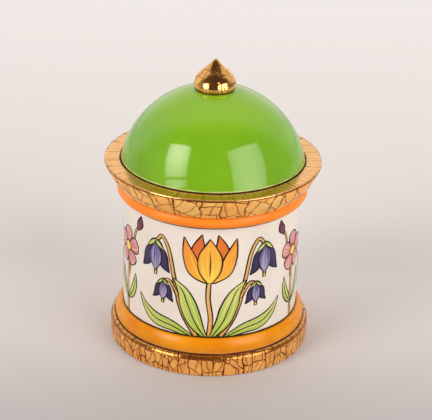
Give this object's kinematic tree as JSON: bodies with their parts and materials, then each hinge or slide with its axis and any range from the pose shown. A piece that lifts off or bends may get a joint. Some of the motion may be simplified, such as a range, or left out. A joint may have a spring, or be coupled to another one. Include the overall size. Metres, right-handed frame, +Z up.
{
  "type": "lidded ceramic box",
  "caption": "Round glazed ceramic box with a flared rim, moulded bands and a foot ring, and a domed lid with a pointed finial that lifts off, for keeping small dry goods.",
  "frame": {"origin": "centre of the face that the foot ring stands on", "axes": "+Z up along the axis that every member is turned about, which is also the way the lid lifts; the painted front faces -Y"},
  "size_m": [0.12, 0.12, 0.1641],
  "materials": {
    "gilt_crackle": "gold lustre over a crackled glaze",
    "orange_glaze": "glossy glaze",
    "white_glaze": "glossy tin glaze",
    "green_glaze": "glossy glaze"
  },
  "bodies": {
    "jar": {"foot_ring": "gilt_crackle", "floor_slab": "white_glaze", "lower_band": "orange_glaze", "jar_wall": "white_glaze", "upper_band": "orange_glaze", "rim_collar": "gilt_crackle"},
    "lid": {"lid_dome": "green_glaze", "lid_locating_ring": "white_glaze", "lid_finial": "gilt_crackle"}
  },
  "joints": [
    {"name": "lid_lift", "type": "slide", "parent": "jar", "child": "lid", "axis": [0, 0, 1], "range_m": [0, 0.1]}
  ]
}
